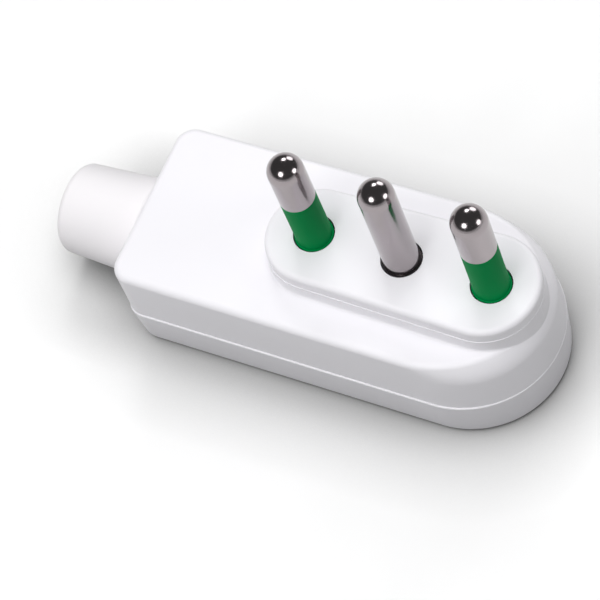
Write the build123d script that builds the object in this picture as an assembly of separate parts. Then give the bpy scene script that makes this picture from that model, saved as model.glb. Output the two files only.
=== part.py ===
from build123d import *
import os

os.makedirs("parts", exist_ok=True)

# Flat earthed mains plug with three round pins in a row, opened from the back to wire it.
# Frame: the origin is on the earth pin's axis, in the plane of the back face that the plug lies on.
# +Z points to the pin tips and +X along the row of pins, towards the round end. Millimetres.

# Pins
pin_pitch = 13.0
pin_diameter = 5.0
pin_reach = 19.0
pin_shank_diameter = 5.4
pin_shank_sink = 0.1
pin_collar_diameter = 7.2
pin_collar_height = 1.8
pin_spigot_diameter = 4.0
pin_spigot_length = 2.7
sleeve_reach = 10.0
sleeve_root = 3.0
sleeve_wall = 0.5
sleeve_chamfer = 0.12

# Housing, outside
housing_height = 17.5
parting_height = 8.0
cable_end_x = -40.5
round_end_x = 20.5
round_centre_x = 7.0
half_width = 13.25
corner_radius = 2.8
inner_corner_radius = 0.8
front_step = 0.25
front_tip_step = 0.05
front_draft = 0.35
back_draft = 0.5
top_edge_radius = 1.0
back_edge_radius = 1.2
parting_edge_radius = 0.2
shoulder_height = 3.5
shoulder_inset = 1.4
shoulder_shift = 4.5
wall = 2.0

# Boss round the pins
boss_height = 4.5
boss_ledge_height = 2.3
boss_ledge = 0.2
boss_flush = 0.1
boss_cable_radius = 7.22
boss_round_radius = 7.72
boss_cable_x = -12.8
boss_round_x = 11.9
boss_draft = 0.08
boss_edge_radius = 0.8
boss_root_radius = 0.4
boss_face_wall = 2.5
pin_hole_clearance = 0.2

# Pin carrier inside the boss
seat_clearance = 0.1
carrier_rise = 3.5
carrier_flange_length = 26.0
carrier_flange_rise = 1.6
carrier_flange_side_gap = 3.0

# Terminals
terminal_length = 6.6
terminal_width = 7.0
terminal_floor_gap = 0.4
terminal_edge = 0.4
wire_hole_diameter = 3.4
wire_hole_web = 0.2
terminal_screw_diameter = 3.0
terminal_screw_head_diameter = 5.2
terminal_screw_head_height = 1.2
terminal_screw_length = 2.3

# Cord guard, a soft tube held between the two shells
cord_hole_diameter = 8.6
guard_end_diameter = 13.2
guard_root_diameter = 14.4
guard_flare = 0.5
guard_flare_length = 1.2
guard_length = 13.9
guard_rim_radius = 1.2
guard_mouth_chamfer = 0.6
guard_neck_diameter = 10.8
guard_flange_diameter = 12.4
guard_flange_length = 2.0

# Cord clamp
clamp_x = -30.5
clamp_length = 7.0
clamp_edge = 1.8
clamp_thickness = 1.6
clamp_grip_diameter = 8.4
clamp_foot_drop = 1.2
clamp_rib_thickness = 1.4
clamp_rib_spacing = 5.0
clamp_rib_rise = 2.1
clamp_screw_diameter = 2.8
clamp_screw_head_diameter = 4.8
clamp_screw_head_height = 1.7
clamp_screw_tip_cover = 3.3
clamp_post_diameter = 4.8
clamp_post_gap = 0.8

# Cover screws, driven from the back
cover_screw_x = -20.5
cover_screw_diameter = 3.0
cover_screw_head_diameter = 5.2
cover_screw_head_height = 2.0
cover_screw_sink = 0.9
cover_screw_tip_cover = 2.1
cover_post_wall = 1.3
front_post_diameter = 5.8
front_post_overlap = 0.2

# Lap joint between the shells, and the hook at the round end
rim_height = 1.5
rim_thickness = 1.0
rim_clearance = 0.15
hook_width = 4.8
hook_height = 2.4
hook_reach = 0.7
hook_thickness = 1.2
barrier_thickness = 1.4
barrier_overhang = 2.5

# Screw heads and tips
slot_width = 0.8
slot_depth = 0.7
screw_head_chamfer = 0.3
screw_tip_chamfer = 0.35

# How far an edge may lie from a height or a wall that it is looked up by
nearby = 0.01

# Heights and places that follow from the sizes above
boss_face = housing_height + boss_height
pin_tip = boss_face + pin_reach
inner_top = housing_height - wall
carrier_rear = parting_height + carrier_rise
carrier_top = boss_face - boss_face_wall
sleeve_top = boss_face + sleeve_reach
sleeve_bottom = carrier_top - sleeve_root
shank_top = boss_face - pin_shank_sink
terminal_base = wall + terminal_floor_gap + terminal_screw_head_height
wire_hole_height = carrier_rear - pin_spigot_length - wire_hole_web - wire_hole_diameter / 2
cord_height = parting_height
guard_neck_length = wall
front_half_width = half_width - front_step
front_inside_y = front_half_width - wall
clamp_foot = cord_height - clamp_foot_drop
clamp_head_seat = clamp_foot - clamp_thickness
clamp_screw_y = front_inside_y - clamp_post_gap - clamp_post_diameter / 2
clamp_screw_length = housing_height - clamp_screw_tip_cover - clamp_head_seat
clamp_width = 2 * (clamp_screw_y + clamp_edge)
cover_head_seat = cover_screw_sink + cover_screw_head_height
cover_screw_y = front_inside_y + front_post_overlap - front_post_diameter / 2
cover_screw_length = housing_height - cover_screw_tip_cover - cover_head_seat
pins = {"line": -pin_pitch, "earth": 0.0, "neutral": pin_pitch}
sleeved = ("line", "neutral")


def outline(height, width, end_x, inset=0.0, centre_x=round_centre_x):
    """Closed wire at one height: square cable end with round corners, elliptical round end."""
    left = cable_end_x + inset
    side = width - inset
    tip = end_x - inset
    radius = corner_radius - min(inset, corner_radius - inner_corner_radius)
    edges = [
        Line((left + radius, -side), (centre_x, -side)),
        EllipticalCenterArc((centre_x, 0), tip - centre_x, side, start_angle=-90, arc_size=180),
        Line((centre_x, side), (left + radius, side)),
        CenterArc((left + radius, side - radius), radius, 90, 90),
        Line((left, side - radius), (left, radius - side)),
        CenterArc((left + radius, radius - side), radius, 180, 90),
    ]
    return Pos(0, 0, height) * Wire(edges)


def front_outline(inset, height, share=0.0):
    """Outline of the front half at one height, its round end drawn in by a share of the shoulder."""
    draft = front_draft * (height - parting_height) / (housing_height - parting_height)
    tip = round_end_x - front_tip_step - share * shoulder_inset
    return outline(height, front_half_width - draft, tip - draft, inset,
                   round_centre_x - share * shoulder_shift)


def front_block(inset, top):
    """Front half of the housing: drafted walls, with a soft shoulder round the round end."""
    shoulder = top - shoulder_height
    block = Solid.make_loft([front_outline(inset, parting_height), front_outline(inset, shoulder)], ruled=True)
    levels = [front_outline(inset, shoulder + step * shoulder_height, step**2)
              for step in (0.0, 0.25, 0.5, 0.75, 1.0)]
    return block + Solid.make_loft(levels)


def back_block(inset, base, top=parting_height):
    """Back half of the housing, with walls that draw in towards the back face."""
    wires = []
    for level in (base, top):
        draft = back_draft * (parting_height - level) / parting_height
        wires.append(outline(level, half_width - draft, round_end_x - draft, inset))
    return Solid.make_loft(wires, ruled=True)


def prism(inset, bottom, top):
    """Upright block inside the housing's outline at the parting plane."""
    face = make_face(outline(bottom, half_width, round_end_x, inset))
    return extrude(face, top - bottom, dir=(0, 0, 1))


def boss_outline(height, offset, flush):
    """Two circles joined by their tangents, wider at the round end, where flush draws it in."""
    ends = Pos(boss_cable_x, 0) * Circle(boss_cable_radius + offset)
    ends += Pos(boss_round_x - flush, 0) * Circle(boss_round_radius + offset)
    return Pos(0, 0, height) * make_hull(ends.edges()).face().outer_wire()


def boss_root(shell, tier):
    """Edges in which the wall of one tier of the boss meets the housing."""
    walls = [face for face in tier.faces() if abs(face.normal_at().Z) < 0.5]
    foot = tier.bounding_box().min.Z
    found = []
    for edge in shell.edges():
        middle = edge.position_at(0.5)
        on_wall = min(wall_face.distance_to(middle) for wall_face in walls) < nearby
        if on_wall and foot + nearby < middle.Z < housing_height + nearby:
            found.append(edge)
    return found


def boss_block(bottom, top, offset, flush=0.0, draft=0.0):
    """One tier of the boss, which draws in by its draft from bottom to top."""
    return Solid.make_loft([boss_outline(bottom, offset, flush), boss_outline(top, offset - draft, flush)],
                           ruled=True)


def rod(diameter, bottom, top, x=0.0, y=0.0):
    """Upright cylinder between two heights."""
    return Pos(x, y, (bottom + top) / 2) * Cylinder(diameter / 2, top - bottom)


def lying_rod(diameter, start, end, z):
    """Cylinder along X between two places."""
    return Pos((start + end) / 2, 0, z) * Rot(0, 90, 0) * Cylinder(diameter / 2, end - start)


def slab(start, end, width, bottom, top, y=0.0):
    """Box between two places along X and two heights."""
    return Pos((start + end) / 2, y, (bottom + top) / 2) * Box(end - start, width, top - bottom)


def edges_at(solid, height):
    """Edges that lie flat at one height."""
    return solid.edges().filter_by_position(Axis.Z, height - nearby, height + nearby)


def make_front_shell():
    """White moulded shell with the boss, open at the parting plane."""
    shell = front_block(0.0, housing_height)
    shell = fillet(edges_at(shell, housing_height), top_edge_radius)
    ledge_top = housing_height + boss_ledge_height
    lower = boss_block(housing_height - shoulder_height, ledge_top, boss_ledge, boss_flush, boss_draft)
    upper = boss_block(ledge_top, boss_face, 0.0, 0.0, boss_draft)
    upper = fillet(edges_at(upper, boss_face), boss_edge_radius)
    shell += lower
    shell = fillet(boss_root(shell, lower), boss_root_radius)
    shell += upper
    cavity = front_block(wall, inner_top)
    recess = boss_block(parting_height, carrier_top, -wall)
    shell = shell - cavity - recess
    for x in pins.values():
        shell -= rod(pin_shank_diameter + 2 * pin_hole_clearance, carrier_top, boss_face, x)
    for side in (-1, 1):
        y = side * clamp_screw_y
        shell += rod(clamp_post_diameter, clamp_foot, inner_top + wall / 2, clamp_x, y)
        y = side * cover_screw_y
        shell += rod(front_post_diameter, parting_height, inner_top + wall / 2, cover_screw_x, y)
    for side in (-1, 1):
        x = clamp_x + side * clamp_rib_spacing / 2
        rib_width = 2 * clamp_screw_y - clamp_post_diameter / 2
        rib = slab(x - clamp_rib_thickness / 2, x + clamp_rib_thickness / 2, rib_width,
                   cord_height + clamp_rib_rise, inner_top + wall / 2)
        shell += rib - lying_rod(clamp_grip_diameter, x - wall, x + wall, cord_height)
    for side in (-1, 1):
        y = side * clamp_screw_y
        shell -= rod(clamp_screw_diameter, clamp_foot, clamp_head_seat + clamp_screw_length, clamp_x, y)
        y = side * cover_screw_y
        shell -= rod(cover_screw_diameter, parting_height, cover_head_seat + cover_screw_length,
                     cover_screw_x, y)
    shell -= guard_space()
    hook_x = round_end_x - front_step - wall
    shell -= slab(hook_x - wall, hook_x + hook_reach + rim_clearance, hook_width + 2 * rim_clearance,
                  parting_height + hook_height - hook_thickness - rim_clearance,
                  parting_height + hook_height + rim_clearance)
    return shell


def guard_space():
    """Room for the cord guard's neck and flange where it passes the end wall."""
    wall_inside = cable_end_x + wall
    neck = lying_rod(guard_neck_diameter + 2 * seat_clearance, cable_end_x - wall, wall_inside + wall,
                     cord_height)
    flange = lying_rod(guard_flange_diameter + 2 * seat_clearance, wall_inside,
                       wall_inside + guard_flange_length + 2 * seat_clearance, cord_height)
    return neck + flange


def make_back_cover():
    """White moulded cover with the screw recesses, a rim that laps into the front shell and a hook."""
    cover = back_block(0.0, 0.0)
    cover = fillet(edges_at(cover, 0.0), back_edge_radius)
    cover = fillet(edges_at(cover, parting_height), parting_edge_radius)
    cover -= back_block(wall + front_step, wall, parting_height)
    lap = front_step + wall + rim_clearance
    rim = prism(wall, parting_height - wall, parting_height)
    rim += prism(lap, parting_height, parting_height + rim_height)
    rim -= prism(lap + rim_thickness, parting_height - wall, parting_height + rim_height)
    for side in (-1, 1):
        rim -= rod(front_post_diameter + 4 * rim_clearance, parting_height, parting_height + wall,
                   cover_screw_x, side * cover_screw_y)
        rim -= rod(clamp_post_diameter + 4 * rim_clearance, parting_height - 2 * wall,
                   parting_height + wall, clamp_x, side * clamp_screw_y)
    cover += rim
    hook_x = round_end_x - lap
    hook_top = parting_height + hook_height
    hook = slab(hook_x - hook_thickness, hook_x, hook_width, parting_height - wall, hook_top)
    cover += hook & prism(lap, parting_height - wall, hook_top)
    cover += slab(hook_x - hook_thickness, hook_x + hook_reach, hook_width, hook_top - hook_thickness,
                  hook_top)
    post_diameter = cover_screw_head_diameter + 2 * rim_clearance + 2 * cover_post_wall
    for side in (-1, 1):
        y = side * cover_screw_y
        cover += rod(post_diameter, wall / 2, parting_height, cover_screw_x, y)
    for side in (-1, 1):
        y = side * cover_screw_y
        cover -= rod(cover_screw_head_diameter + 2 * rim_clearance, 0.0, cover_head_seat, cover_screw_x, y)
        cover -= rod(cover_screw_diameter + 2 * seat_clearance, 0.0, parting_height, cover_screw_x, y)
    for side in (-1, 1):
        x = side * pin_pitch / 2
        cover += slab(x - barrier_thickness / 2, x + barrier_thickness / 2,
                      terminal_width + 2 * barrier_overhang, wall / 2, carrier_rear)
    cover -= guard_space()
    return cover


def make_pin_carrier():
    """Hard insulating block that fills the boss from behind and seats the pin collars."""
    block = boss_block(carrier_rear, carrier_top, -wall - seat_clearance)
    flange_x = cover_screw_x + front_post_diameter / 2 + seat_clearance
    block += slab(flange_x, flange_x + carrier_flange_length,
                  2 * (front_inside_y - carrier_flange_side_gap), carrier_rear + carrier_flange_rise, inner_top)
    for x in pins.values():
        block -= rod(pin_shank_diameter, carrier_rear, carrier_top, x)
        block -= rod(pin_collar_diameter, carrier_rear, carrier_rear + pin_collar_height, x)
    return block


def make_pin(name):
    """Turned pin with a domed tip, a shank, a seating collar and a spigot for its terminal."""
    x = pins[name]
    radius = pin_diameter / 2
    pin = rod(pin_diameter, shank_top, pin_tip - radius, x)
    pin += Pos(x, 0, pin_tip - radius) * Sphere(radius)
    if name in sleeved:
        pin -= rod(pin_diameter, shank_top, sleeve_top, x)
        pin = chamfer(edges_at(pin, sleeve_top), sleeve_chamfer)
        pin += rod(pin_diameter - 2 * sleeve_wall, sleeve_bottom, sleeve_top, x)
        pin += rod(pin_shank_diameter, carrier_rear, sleeve_bottom, x)
    else:
        pin += rod(pin_shank_diameter, carrier_rear, shank_top, x)
    pin += rod(pin_collar_diameter, carrier_rear, carrier_rear + pin_collar_height, x)
    pin += rod(pin_spigot_diameter, carrier_rear - pin_spigot_length, carrier_rear, x)
    return pin


def make_sleeve(name):
    """Insulating sleeve, moulded flush into a relief of its pin, with a thicker root in the housing."""
    x = pins[name]
    sleeve = rod(pin_diameter, shank_top, sleeve_top, x)
    sleeve = chamfer(edges_at(sleeve, sleeve_top), sleeve_chamfer)
    sleeve += rod(pin_shank_diameter, sleeve_bottom, shank_top, x)
    return sleeve - rod(pin_diameter - 2 * sleeve_wall, sleeve_bottom, sleeve_top, x)


def make_terminal(name):
    """Brass block on the pin's spigot, with a cross hole for the wire and a screw from the back."""
    x = pins[name]
    block = slab(x - terminal_length / 2, x + terminal_length / 2, terminal_width, terminal_base,
                 carrier_rear)
    block = chamfer(block.edges().filter_by(Axis.Z), terminal_edge)
    block -= rod(pin_spigot_diameter, carrier_rear - pin_spigot_length, carrier_rear, x)
    block -= Pos(x, 0, wire_hole_height) * Rot(0, 90, 0) * Cylinder(wire_hole_diameter / 2, terminal_length)
    block -= rod(terminal_screw_diameter, terminal_base, wire_hole_height, x)
    return block


def slotted_screw(x, y, seat, head_diameter, head_height, diameter, length):
    """Cheese-head screw driven towards +Z, with its head below the seat."""
    head = rod(head_diameter, seat - head_height, seat, x, y)
    head = chamfer(edges_at(head, seat - head_height), screw_head_chamfer)
    head -= Pos(x, y, seat - head_height + slot_depth / 2) * Box(head_diameter, slot_width, slot_depth)
    shank = rod(diameter, seat, seat + length, x, y)
    shank = chamfer(edges_at(shank, seat + length), screw_tip_chamfer)
    return head + shank


def make_cord_clamp():
    """Saddle strap that grips the cord against the ribs of the front shell."""
    grip = clamp_grip_diameter / 2
    start = clamp_x - clamp_length / 2
    end = clamp_x + clamp_length / 2
    saddle = lying_rod(clamp_grip_diameter + 2 * clamp_thickness, start, end, cord_height)
    saddle &= slab(start, end, clamp_width, 0.0, clamp_foot)
    feet = slab(start, end, clamp_width, clamp_foot - clamp_thickness, clamp_foot)
    feet = fillet(feet.edges().filter_by(Axis.Z), clamp_thickness)
    strap = saddle + feet - lying_rod(2 * grip, start, end, cord_height)
    for side in (-1, 1):
        strap -= rod(clamp_screw_diameter + 2 * seat_clearance, 0.0, clamp_foot, clamp_x,
                     side * clamp_screw_y)
    return strap


def make_cord_guard():
    """Turned form: tapered tube outside, neck through the end wall and a flange inside it."""
    outer_end = cable_end_x - guard_length
    root = cable_end_x
    bore = cord_hole_diameter / 2
    rim = guard_end_diameter / 2
    base = guard_root_diameter / 2
    neck = guard_neck_diameter / 2
    flange = guard_flange_diameter / 2
    neck_end = root + guard_neck_length + seat_clearance
    flange_end = neck_end + guard_flange_length
    section = Polyline(
        (outer_end, bore + guard_mouth_chamfer),
        (outer_end, rim - guard_rim_radius),
    )
    section += RadiusArc((outer_end, rim - guard_rim_radius), (outer_end + guard_rim_radius, rim),
                         guard_rim_radius)
    section += Polyline(
        (outer_end + guard_rim_radius, rim),
        (root - guard_flare_length, base),
        (root, base + guard_flare),
        (root, neck),
        (neck_end, neck),
        (neck_end, flange),
        (flange_end, flange),
        (flange_end, bore),
        (outer_end + guard_mouth_chamfer, bore),
        (outer_end, bore + guard_mouth_chamfer),
    )
    profile = Plane.XZ * make_face(section)
    return Pos(0, 0, cord_height) * revolve(profile, Axis.X)


def save(name, shape):
    """Writes one piece."""
    export_step(shape, f"parts/{name}.step")


save("front_shell", make_front_shell())
save("back_cover", make_back_cover())
save("pin_carrier", make_pin_carrier())
for name in pins:
    save(f"pin_{name}", make_pin(name))
    save(f"terminal_{name}", make_terminal(name))
    save(f"terminal_screw_{name}", slotted_screw(pins[name], 0.0, terminal_base,
         terminal_screw_head_diameter, terminal_screw_head_height, terminal_screw_diameter,
         terminal_screw_length))
for name in sleeved:
    save(f"sleeve_{name}", make_sleeve(name))
save("cord_clamp", make_cord_clamp())
save("cord_guard", make_cord_guard())
for number, side in ((1, -1), (2, 1)):
    save(f"cord_clamp_screw_{number}", slotted_screw(clamp_x, side * clamp_screw_y,
         clamp_head_seat, clamp_screw_head_diameter, clamp_screw_head_height,
         clamp_screw_diameter, clamp_screw_length))
    save(f"cover_screw_{number}", slotted_screw(cover_screw_x, side * cover_screw_y,
         cover_head_seat, cover_screw_head_diameter, cover_screw_head_height, cover_screw_diameter,
         cover_screw_length))
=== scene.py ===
import bpy
from mathutils import Matrix, Vector

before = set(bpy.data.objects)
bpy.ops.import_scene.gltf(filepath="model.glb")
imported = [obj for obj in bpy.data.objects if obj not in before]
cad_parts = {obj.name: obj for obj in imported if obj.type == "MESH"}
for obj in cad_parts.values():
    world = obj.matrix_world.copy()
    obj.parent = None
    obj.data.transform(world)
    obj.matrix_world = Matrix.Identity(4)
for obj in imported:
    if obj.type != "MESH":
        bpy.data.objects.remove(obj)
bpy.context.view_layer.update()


# Housing: two shells moulded in white urea resin, hard and slightly glossy.
# The front shell carries the boss round the pins, and the back cover laps into it.
# Both come out of polished moulds, so the surface is smooth with a faint flow of the resin in it.
def moulded_plastic(name, colour, gloss, ripple):
    """Solid coloured plastic with a faint unevenness of gloss and a very fine surface ripple."""
    flow_scale = 90.0
    flow_detail = 3.0
    flow_shade = 0.975
    gloss_spread = 0.04
    grain_scale = 1400.0
    grain_detail = 2.0
    grain_depth = 0.00002
    finish = bpy.data.materials.new(name)
    finish.use_nodes = True
    nodes = finish.node_tree.nodes
    links = finish.node_tree.links
    shader = nodes["Principled BSDF"]
    place = nodes.new("ShaderNodeTexCoord")
    flow = nodes.new("ShaderNodeTexNoise")
    flow.inputs["Scale"].default_value = flow_scale
    flow.inputs["Detail"].default_value = flow_detail
    links.new(place.outputs["Object"], flow.inputs["Vector"])
    tint = nodes.new("ShaderNodeMixRGB")
    tint.inputs["Color1"].default_value = (*colour, 1.0)
    tint.inputs["Color2"].default_value = (*[flow_shade * part for part in colour], 1.0)
    links.new(flow.outputs["Fac"], tint.inputs["Fac"])
    links.new(tint.outputs["Color"], shader.inputs["Base Color"])
    sheen = nodes.new("ShaderNodeMapRange")
    sheen.inputs["To Min"].default_value = gloss - gloss_spread
    sheen.inputs["To Max"].default_value = gloss + gloss_spread
    links.new(flow.outputs["Fac"], sheen.inputs["Value"])
    links.new(sheen.outputs["Result"], shader.inputs["Roughness"])
    grain = nodes.new("ShaderNodeTexNoise")
    grain.inputs["Scale"].default_value = grain_scale
    grain.inputs["Detail"].default_value = grain_detail
    links.new(place.outputs["Object"], grain.inputs["Vector"])
    bump = nodes.new("ShaderNodeBump")
    bump.inputs["Strength"].default_value = ripple
    bump.inputs["Distance"].default_value = grain_depth
    links.new(grain.outputs["Fac"], bump.inputs["Height"])
    links.new(bump.outputs["Normal"], shader.inputs["Normal"])
    return finish


def dress(node, finish):
    """Gives a CAD node its finish."""
    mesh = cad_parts[node].data
    mesh.materials.clear()
    mesh.materials.append(finish)


white_resin = moulded_plastic("white_resin", colour=(0.845, 0.835, 0.87), gloss=0.42, ripple=0.3)
for node in ("front_shell", "back_cover"):
    dress(node, white_resin)


# Cord guard: a softer white plastic tube, slightly conical, held by its flange between the shells.
# It is a little less glossy than the housing.
soft_white = moulded_plastic("soft_white", colour=(0.86, 0.84, 0.86), gloss=0.55, ripple=0.5)
dress("cord_guard", soft_white)


# Pins: turned brass rods with domed tips, nickel plated and polished.
# The turning leaves very fine rings round each pin, under the plating.
def plated_metal(name, colour, roughness, ring_depth):
    """Bright plating over a turned rod."""
    haze_scale = 500.0
    haze_detail = 3.0
    brightest = 0.03
    dullest = 0.05
    ring_scale = 900.0
    ring_waver = 1.5
    ring_height = 0.00001
    finish = bpy.data.materials.new(name)
    finish.use_nodes = True
    nodes = finish.node_tree.nodes
    links = finish.node_tree.links
    shader = nodes["Principled BSDF"]
    shader.inputs["Metallic"].default_value = 1.0
    shader.inputs["Base Color"].default_value = (*colour, 1.0)
    place = nodes.new("ShaderNodeTexCoord")
    haze = nodes.new("ShaderNodeTexNoise")
    haze.inputs["Scale"].default_value = haze_scale
    haze.inputs["Detail"].default_value = haze_detail
    links.new(place.outputs["Object"], haze.inputs["Vector"])
    dull = nodes.new("ShaderNodeMapRange")
    dull.inputs["To Min"].default_value = roughness - brightest
    dull.inputs["To Max"].default_value = roughness + dullest
    links.new(haze.outputs["Fac"], dull.inputs["Value"])
    links.new(dull.outputs["Result"], shader.inputs["Roughness"])
    rings = nodes.new("ShaderNodeTexWave")
    rings.bands_direction = "Z"
    rings.inputs["Scale"].default_value = ring_scale
    rings.inputs["Distortion"].default_value = ring_waver
    links.new(place.outputs["Object"], rings.inputs["Vector"])
    bump = nodes.new("ShaderNodeBump")
    bump.inputs["Strength"].default_value = ring_depth
    bump.inputs["Distance"].default_value = ring_height
    links.new(rings.outputs["Fac"], bump.inputs["Height"])
    links.new(bump.outputs["Normal"], shader.inputs["Normal"])
    return finish


nickel = plated_metal("nickel", colour=(0.36, 0.325, 0.335), roughness=0.14, ring_depth=0.15)
pins = ("line", "earth", "neutral")
for name in pins:
    dress(f"pin_{name}", nickel)


# Sleeves: green insulating plastic moulded round the lower half of the two outer pins.
# It is a soft plastic with hardly any shine.
green_sleeve = moulded_plastic("green_sleeve", colour=(0.0, 0.24, 0.062), gloss=0.5, ripple=0.3)
sleeve_shine = 0.03
sleeve_shader = green_sleeve.node_tree.nodes["Principled BSDF"]
sleeve_shader.inputs["Specular IOR Level"].default_value = sleeve_shine
for name in ("line", "neutral"):
    dress(f"sleeve_{name}", green_sleeve)


# Inside: an ivory insulating carrier and clamp, brass terminals and zinc plated screws.
# None of it shows while the housing is closed, apart from the two screws in the back cover.
ivory = moulded_plastic("ivory", colour=(0.72, 0.70, 0.62), gloss=0.6, ripple=0.5)
brass = plated_metal("brass", colour=(0.78, 0.57, 0.28), roughness=0.28, ring_depth=0.4)
zinc = plated_metal("zinc", colour=(0.66, 0.67, 0.69), roughness=0.3, ring_depth=0.4)
for node in ("pin_carrier", "cord_clamp"):
    dress(node, ivory)
for name in pins:
    dress(f"terminal_{name}", brass)
    dress(f"terminal_screw_{name}", zinc)
for number in (1, 2):
    dress(f"cord_clamp_screw_{number}", zinc)
    dress(f"cover_screw_{number}", zinc)


# Floor: a white sheet a hair below the back face. It is pale where the camera or a reflection
# sees it, and greyer in the light that it throws back on the object. It keeps the object's
# shadow, and painted shade darkens its colour close to the object.
MM = 0.001


def seen_directly(tree):
    """Output that is 1 for camera, glossy and transmission rays, and 0 for the rest."""
    path = tree.nodes.new("ShaderNodeLightPath")
    seen = path.outputs["Is Camera Ray"]
    for ray in ("Is Glossy Ray", "Is Transmission Ray"):
        either = tree.nodes.new("ShaderNodeMath")
        either.operation = "MAXIMUM"
        tree.links.new(seen, either.inputs[0])
        tree.links.new(path.outputs[ray], either.inputs[1])
        seen = either.outputs["Value"]
    return seen


def grey(level):
    """Neutral colour of one level."""
    return (level, level, level, 1.0)


def floor_finish(bounce, seen, painted_shade_level, painted_shade_reach):
    """Matt sheet with one grey for the light it throws back and one for what is seen of it, both
    darkened by painted shade close to the object.
    """
    closest = 0.3
    finish = bpy.data.materials.new("studio_floor")
    finish.use_nodes = True
    tree = finish.node_tree
    shader = tree.nodes["Principled BSDF"]
    shader.inputs["Roughness"].default_value = 1.0
    shader.inputs["Specular IOR Level"].default_value = 0.0
    mix = tree.nodes.new("ShaderNodeMixRGB")
    mix.inputs["Color1"].default_value = grey(bounce)
    mix.inputs["Color2"].default_value = grey(seen)
    tree.links.new(seen_directly(tree), mix.inputs["Fac"])
    # Painted shade: ambient occlusion darkens the floor's colour close to the object, for every ray.
    near = tree.nodes.new("ShaderNodeAmbientOcclusion")
    near.inputs["Distance"].default_value = painted_shade_reach
    shade = tree.nodes.new("ShaderNodeMapRange")
    shade.inputs["From Min"].default_value = closest
    shade.inputs["To Min"].default_value = painted_shade_level
    tree.links.new(near.outputs["AO"], shade.inputs["Value"])
    shaded = tree.nodes.new("ShaderNodeMixRGB")
    shaded.blend_type = "MULTIPLY"
    shaded.inputs["Fac"].default_value = 1.0
    tree.links.new(mix.outputs["Color"], shaded.inputs["Color1"])
    tree.links.new(shade.outputs["Result"], shaded.inputs["Color2"])
    tree.links.new(shaded.outputs["Color"], shader.inputs["Base Color"])
    return finish


floor_size = 1.6
floor_gap = 0.02 * MM
bpy.ops.mesh.primitive_plane_add(size=floor_size, location=(0.0, 0.0, -floor_gap))
floor = bpy.context.object
floor.name = "floor"
white_sheet = floor_finish(bounce=0.3, seen=0.9, painted_shade_level=0.3, painted_shade_reach=0.014)
floor.data.materials.append(white_sheet)


# Surround: pale near the horizon and dark overhead, as the pins' tips show it.
# In reflections the pale band is brighter and lower. What the camera itself sees is white.
def surround(in_light, in_metal):
    """World with one pale band for the light and one for reflections.

    Each is given as level at the horizon, level overhead, and the heights between which it fades.
    """
    world = bpy.data.worlds.new("studio")
    world.use_nodes = True
    tree = world.node_tree
    place = tree.nodes.new("ShaderNodeTexCoord")
    split = tree.nodes.new("ShaderNodeSeparateXYZ")
    tree.links.new(place.outputs["Generated"], split.inputs["Vector"])
    path = tree.nodes.new("ShaderNodeLightPath")
    band = tree.nodes.new("ShaderNodeMixRGB")
    for side, (horizon, above, start, end) in (("Color1", in_light), ("Color2", in_metal)):
        fade = tree.nodes.new("ShaderNodeMapRange")
        fade.inputs["From Min"].default_value = start
        fade.inputs["From Max"].default_value = end
        fade.inputs["To Min"].default_value = horizon
        fade.inputs["To Max"].default_value = above
        tree.links.new(split.outputs["Z"], fade.inputs["Value"])
        tree.links.new(fade.outputs["Result"], band.inputs[side])
    tree.links.new(path.outputs["Is Glossy Ray"], band.inputs["Fac"])
    white = tree.nodes.new("ShaderNodeMixRGB")
    white.inputs["Color2"].default_value = grey(1.0)
    tree.links.new(path.outputs["Is Camera Ray"], white.inputs["Fac"])
    tree.links.new(band.outputs["Color"], white.inputs["Color1"])
    tree.links.new(white.outputs["Color"], tree.nodes["Background"].inputs["Color"])
    return world


bpy.context.scene.world = surround(in_light=(0.14, 0.03, 0.12, 0.34), in_metal=(0.9, 0.08, 0.0, 0.16))


# Lamps: four that stand where the highlights on each pin's tip show them, and two large soft
# ones, overhead and at the left, that light the white plastic and do not show in reflections.
def soft_lamp(name, towards, size, power, shows=True):
    """Round lamp in the given direction from the pins."""
    distance = 0.5
    aim = Vector((0.0, 0.0, 0.02))
    data = bpy.data.lights.new(name, "AREA")
    data.shape = "DISK"
    data.size = size
    data.energy = power
    lamp = bpy.data.objects.new(name, data)
    bpy.context.scene.collection.objects.link(lamp)
    direction = Vector(towards).normalized()
    lamp.location = aim + distance * direction
    lamp.rotation_euler = direction.to_track_quat("Z", "Y").to_euler()
    lamp.visible_glossy = shows


soft_lamp("overhead", towards=(0.05, -0.08, 0.98), size=0.45, power=1.9, shows=False)
soft_lamp("left", towards=(-0.64, -0.46, 0.61), size=0.40, power=0.62, shows=False)
soft_lamp("back", towards=(0.0, 0.90, 0.43), size=0.24, power=0.45)
soft_lamp("high_back", towards=(-0.30, 0.64, 0.70), size=0.16, power=0.38)
soft_lamp("front", towards=(-0.05, -0.75, 0.65), size=0.24, power=0.62)
soft_lamp("right", towards=(0.90, 0.12, 0.36), size=0.22, power=0.42)


# Camera: the photograph looks down on the plug from the pin side of its front, rolled to the left.
# It is a long lens about 0.4 m away.
camera_place = Vector((134.73, -145.19, 352.66)) * MM
image_right = Vector((0.88778, 0.40079, -0.2263))
image_down = Vector((0.26415, -0.84631, -0.46259))
view_forward = Vector((-0.37692, 0.3509, -0.8572))
lens = bpy.data.cameras.new("camera")
lens.sensor_width = 36.0
lens.lens = 175.06
lens.clip_start = 0.01
camera = bpy.data.objects.new("camera", lens)
bpy.context.scene.collection.objects.link(camera)
turn = Matrix((image_right, -image_down, -view_forward)).transposed()
camera.matrix_world = Matrix.Translation(camera_place) @ turn.to_4x4()
bpy.context.scene.camera = camera

bpy.context.scene.view_settings.view_transform = "Standard"
